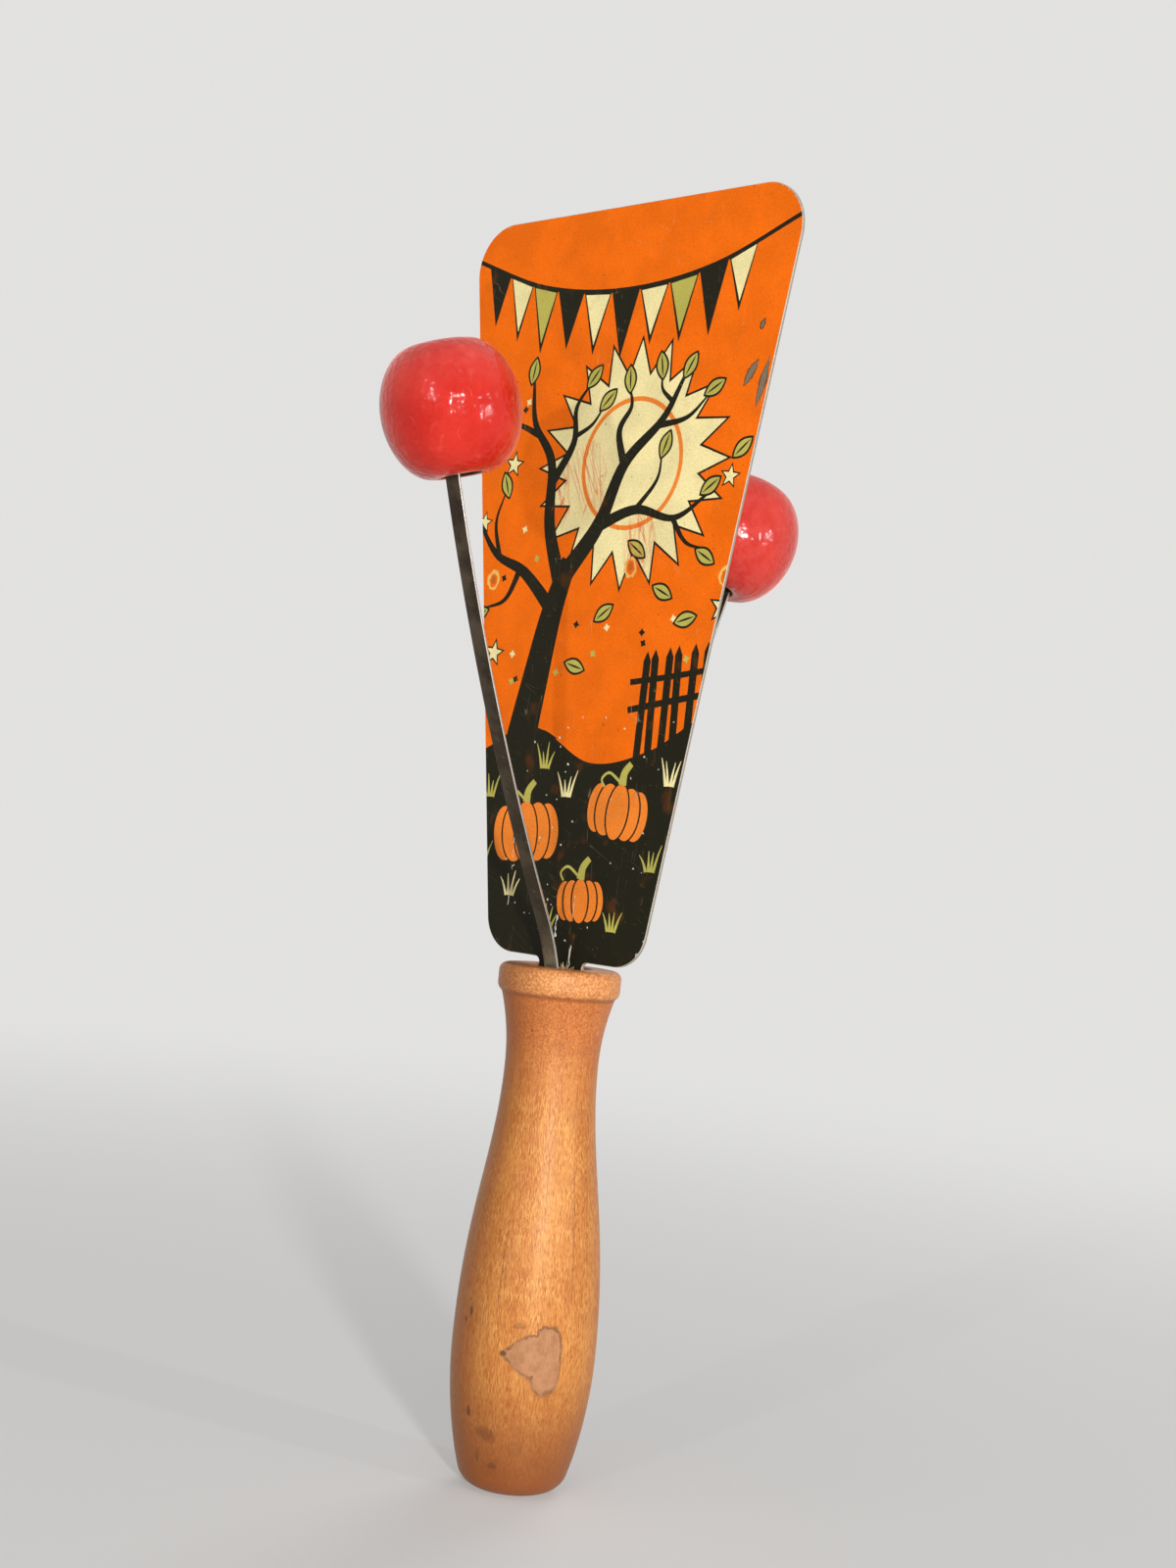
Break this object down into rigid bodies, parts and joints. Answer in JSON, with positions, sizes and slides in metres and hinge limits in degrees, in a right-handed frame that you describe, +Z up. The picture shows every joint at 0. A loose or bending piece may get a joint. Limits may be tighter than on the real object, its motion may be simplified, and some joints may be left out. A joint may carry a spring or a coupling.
{
  "type": "ball clapper noisemaker",
  "caption": "Hand clapper noisemaker: a tapered printed tin plate on a turned wooden handle, with a wooden ball on a leaf spring off each face that beats the tin when it is shaken.",
  "frame": {"origin": "centre of the handle's butt face", "axes": "+Z up the handle's axis towards the plate's top edge, -Y out of the plate's front face, +X to the right as the front is seen"},
  "size_m": [0.0726, 0.0939, 0.2142],
  "materials": {
    "turned_wood": "amber lacquer, worn",
    "printed_tin": "glossy printed enamel, rubbed",
    "spring_steel": "dull, tarnished",
    "red_enamel": "glossy red enamel on turned wood",
    "raw_wood": "bare",
    "nail_steel": "plain nail"
  },
  "bodies": {
    "handle_and_plate": {"handle": "turned_wood", "tin_plate": "printed_tin", "front_wedge": "raw_wood", "rear_wedge": "raw_wood", "tang_brad": "nail_steel"},
    "front_clapper": {"front_spring_strip": "spring_steel", "front_ball": "red_enamel", "front_ball_peg": "raw_wood"},
    "rear_clapper": {"rear_spring_strip": "spring_steel", "rear_ball": "red_enamel", "rear_ball_peg": "raw_wood"}
  },
  "joints": [
    {"name": "front_clapper_swing", "type": "hinge", "parent": "handle_and_plate", "child": "front_clapper", "pos_m": [0, -0.0023, 0.086], "axis": [-1, 0, 0], "range_deg": [-15, 16.2], "stiffness_Nm_per_rad": 0.095, "deforming": ["front_spring_strip"]},
    {"name": "rear_clapper_swing", "type": "hinge", "parent": "handle_and_plate", "child": "rear_clapper", "pos_m": [0, 0.0023, 0.086], "axis": [1, 0, 0], "range_deg": [-15, 16], "stiffness_Nm_per_rad": 0.095, "deforming": ["rear_spring_strip"]}
  ]
}
